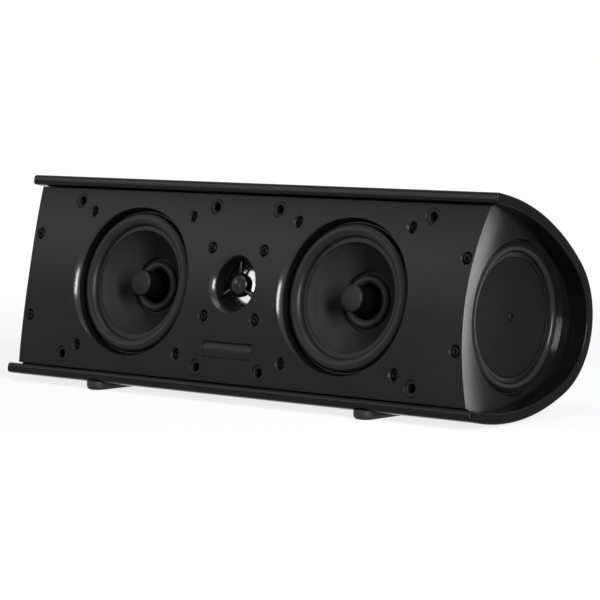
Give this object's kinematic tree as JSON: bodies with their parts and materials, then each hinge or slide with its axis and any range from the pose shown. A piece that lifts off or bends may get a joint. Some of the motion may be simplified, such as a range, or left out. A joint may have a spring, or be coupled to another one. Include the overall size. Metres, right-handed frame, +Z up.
{
  "type": "center channel speaker",
  "caption": "Low wide loudspeaker with a bowed black baffle, woofers either side of a metal dome tweeter, and a passive radiator in each open end of its curved shell.",
  "frame": {"origin": "middle of the underside, on the plane that the feet stand on", "axes": "+X along the width to the listener's right, +Y to the back, +Z up; the baffle faces -Y and leans back"},
  "size_m": [0.372, 0.1274, 0.1333],
  "materials": {
    "shell_black": "satin black moulding",
    "baffle_black": "fine-grained satin black",
    "badge_black": "satin black, blank",
    "socket_black": "matte black",
    "screw_black": "black oxide",
    "end_cap_grey": "satin dark grey",
    "foot_rubber": "matte black rubber",
    "basket_black": "black enamel",
    "surround_rubber": "smooth black rubber",
    "cone_grey": "satin black moulded cone",
    "collar_grey": "grey ring",
    "coil_copper": "enamelled copper wire",
    "spider_cloth": "resin-dipped cloth",
    "steel": "zinc plated",
    "ferrite": "pressed ferrite",
    "plug_black": "satin black",
    "piston_black": "satin black",
    "dome_aluminium": "bright drawn aluminium",
    "cup_black": "matte black",
    "brass": "gold plated",
    "cap_red": "red",
    "cap_black": "black",
    "board_green": "solder-masked board",
    "capacitor_yellow": "wrapped film",
    "resistor_white": "cement"
  },
  "bodies": {
    "cabinet": {"badge_plate": "badge_black", "baffle": "baffle_black", "binding_posts": "brass", "board_screws": "steel", "cabinet_shell": "shell_black", "crossover_board": "board_green", "crossover_capacitors": "capacitor_yellow", "crossover_chokes": "coil_copper", "crossover_resistor": "resistor_white", "edge_screws": "screw_black", "end_cap_left": "end_cap_grey", "end_cap_right": "end_cap_grey", "foot_left": "foot_rubber", "foot_right": "foot_rubber", "grille_sockets": "socket_black", "levelling_insert": "brass", "post_collars": "cup_black", "post_nuts": "brass", "radiator_frame_left": "basket_black", "radiator_frame_right": "basket_black", "radiator_surround_left": "surround_rubber", "radiator_surround_right": "surround_rubber", "terminal_cup": "cup_black", "tweeter_frame": "socket_black", "tweeter_motor": "ferrite", "tweeter_phase_disc": "plug_black", "tweeter_screws": "screw_black", "tweeter_surround": "surround_rubber", "woofer_back_plate_left": "steel", "woofer_back_plate_right": "steel", "woofer_basket_left": "basket_black", "woofer_basket_right": "basket_black", "woofer_magnet_left": "ferrite", "woofer_magnet_right": "ferrite", "woofer_phase_plug_left": "plug_black", "woofer_phase_plug_right": "plug_black", "woofer_screws": "screw_black", "woofer_spider_left": "spider_cloth", "woofer_spider_right": "spider_cloth", "woofer_surround_left": "surround_rubber", "woofer_surround_right": "surround_rubber", "woofer_top_plate_left": "steel", "woofer_top_plate_right": "steel"},
    "woofer_left_cone": {"woofer_cone_left": "cone_grey", "woofer_collar_left": "collar_grey", "woofer_voice_coil_left": "coil_copper"},
    "woofer_right_cone": {"woofer_cone_right": "cone_grey", "woofer_collar_right": "collar_grey", "woofer_voice_coil_right": "coil_copper"},
    "radiator_left_piston": {"radiator_piston_left": "piston_black"},
    "radiator_right_piston": {"radiator_piston_right": "piston_black"},
    "tweeter_dome": {"tweeter_dome": "dome_aluminium"},
    "levelling_screw": {"levelling_stud": "steel", "levelling_tip": "foot_rubber"},
    "black_post_cap": {"post_cap_black": "cap_black"},
    "red_post_cap": {"post_cap_red": "cap_red"}
  },
  "joints": [
    {"name": "woofer_left_travel", "type": "slide", "parent": "cabinet", "child": "woofer_left_cone", "axis": [0, -0.9816, 0.1908], "range_m": [-0.003, 0.003], "stiffness_N_per_m": 1500, "deforming": ["woofer_surround_left", "woofer_spider_left"]},
    {"name": "woofer_right_travel", "type": "slide", "parent": "cabinet", "child": "woofer_right_cone", "axis": [0, -0.9816, 0.1908], "range_m": [-0.003, 0.003], "stiffness_N_per_m": 1500, "deforming": ["woofer_surround_right", "woofer_spider_right"]},
    {"name": "radiator_left_travel", "type": "slide", "parent": "cabinet", "child": "radiator_left_piston", "axis": [-1, 0, 0], "range_m": [-0.005, 0.005], "stiffness_N_per_m": 1000, "deforming": ["radiator_surround_left"]},
    {"name": "radiator_right_travel", "type": "slide", "parent": "cabinet", "child": "radiator_right_piston", "axis": [1, 0, 0], "range_m": [-0.005, 0.005], "stiffness_N_per_m": 1000, "deforming": ["radiator_surround_right"]},
    {"name": "tweeter_travel", "type": "slide", "parent": "cabinet", "child": "tweeter_dome", "axis": [0, -0.9816, 0.1908], "range_m": [-0.0003, 0.0003], "stiffness_N_per_m": 5000, "deforming": ["tweeter_surround"]},
    {"name": "levelling_screw_wind", "type": "slide", "parent": "cabinet", "child": "levelling_screw", "axis": [0, -0.1908, -0.9816], "range_m": [0, 0.012]},
    {"name": "black_post_cap_wind", "type": "slide", "parent": "cabinet", "child": "black_post_cap", "axis": [0, 0.9816, -0.1908], "range_m": [0, 0.004]},
    {"name": "red_post_cap_wind", "type": "slide", "parent": "cabinet", "child": "red_post_cap", "axis": [0, 0.9816, -0.1908], "range_m": [0, 0.004]}
  ]
}
